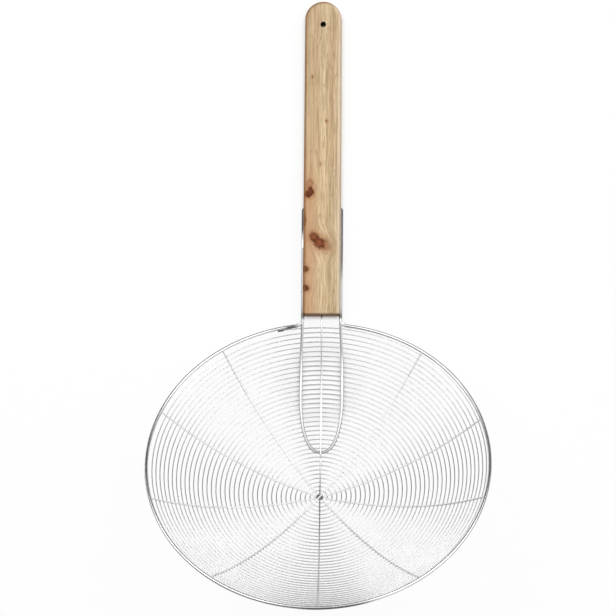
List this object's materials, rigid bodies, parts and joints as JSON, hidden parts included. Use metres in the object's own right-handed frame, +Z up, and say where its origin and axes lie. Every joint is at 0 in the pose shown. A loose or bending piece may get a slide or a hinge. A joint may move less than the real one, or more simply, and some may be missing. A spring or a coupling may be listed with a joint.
{
  "type": "skimmer",
  "caption": "Kitchen skimmer with a shallow spiral wire basket, radial ribs and a U-shaped support wire, staked into a flat round-ended wooden handle with a hanging hole.",
  "frame": {"origin": "middle of the footprint on the table that the skimmer lies on, touching it with the bowl and the tip of the handle", "axes": "+X across the basket, +Y from the basket along the handle, +Z up from the table, with the hollow of the basket facing up and leaning towards the handle"},
  "size_m": [0.22, 0.4084, 0.106],
  "materials": {
    "wood": "bare smoothed light brown wood with fine straight grain",
    "steel_wire": "bright drawn stainless wire"
  },
  "bodies": {
    "root": {"handle": "wood", "rim_wire": "steel_wire", "support_wire": "steel_wire", "spine_wire": "steel_wire", "cross_rib_wire": "steel_wire", "rib_wire_1": "steel_wire", "rib_wire_2": "steel_wire", "rib_wire_3": "steel_wire", "rib_wire_4": "steel_wire", "rib_wire_5": "steel_wire", "rib_wire_6": "steel_wire", "spiral_wire": "steel_wire"}
  },
  "joints": []
}
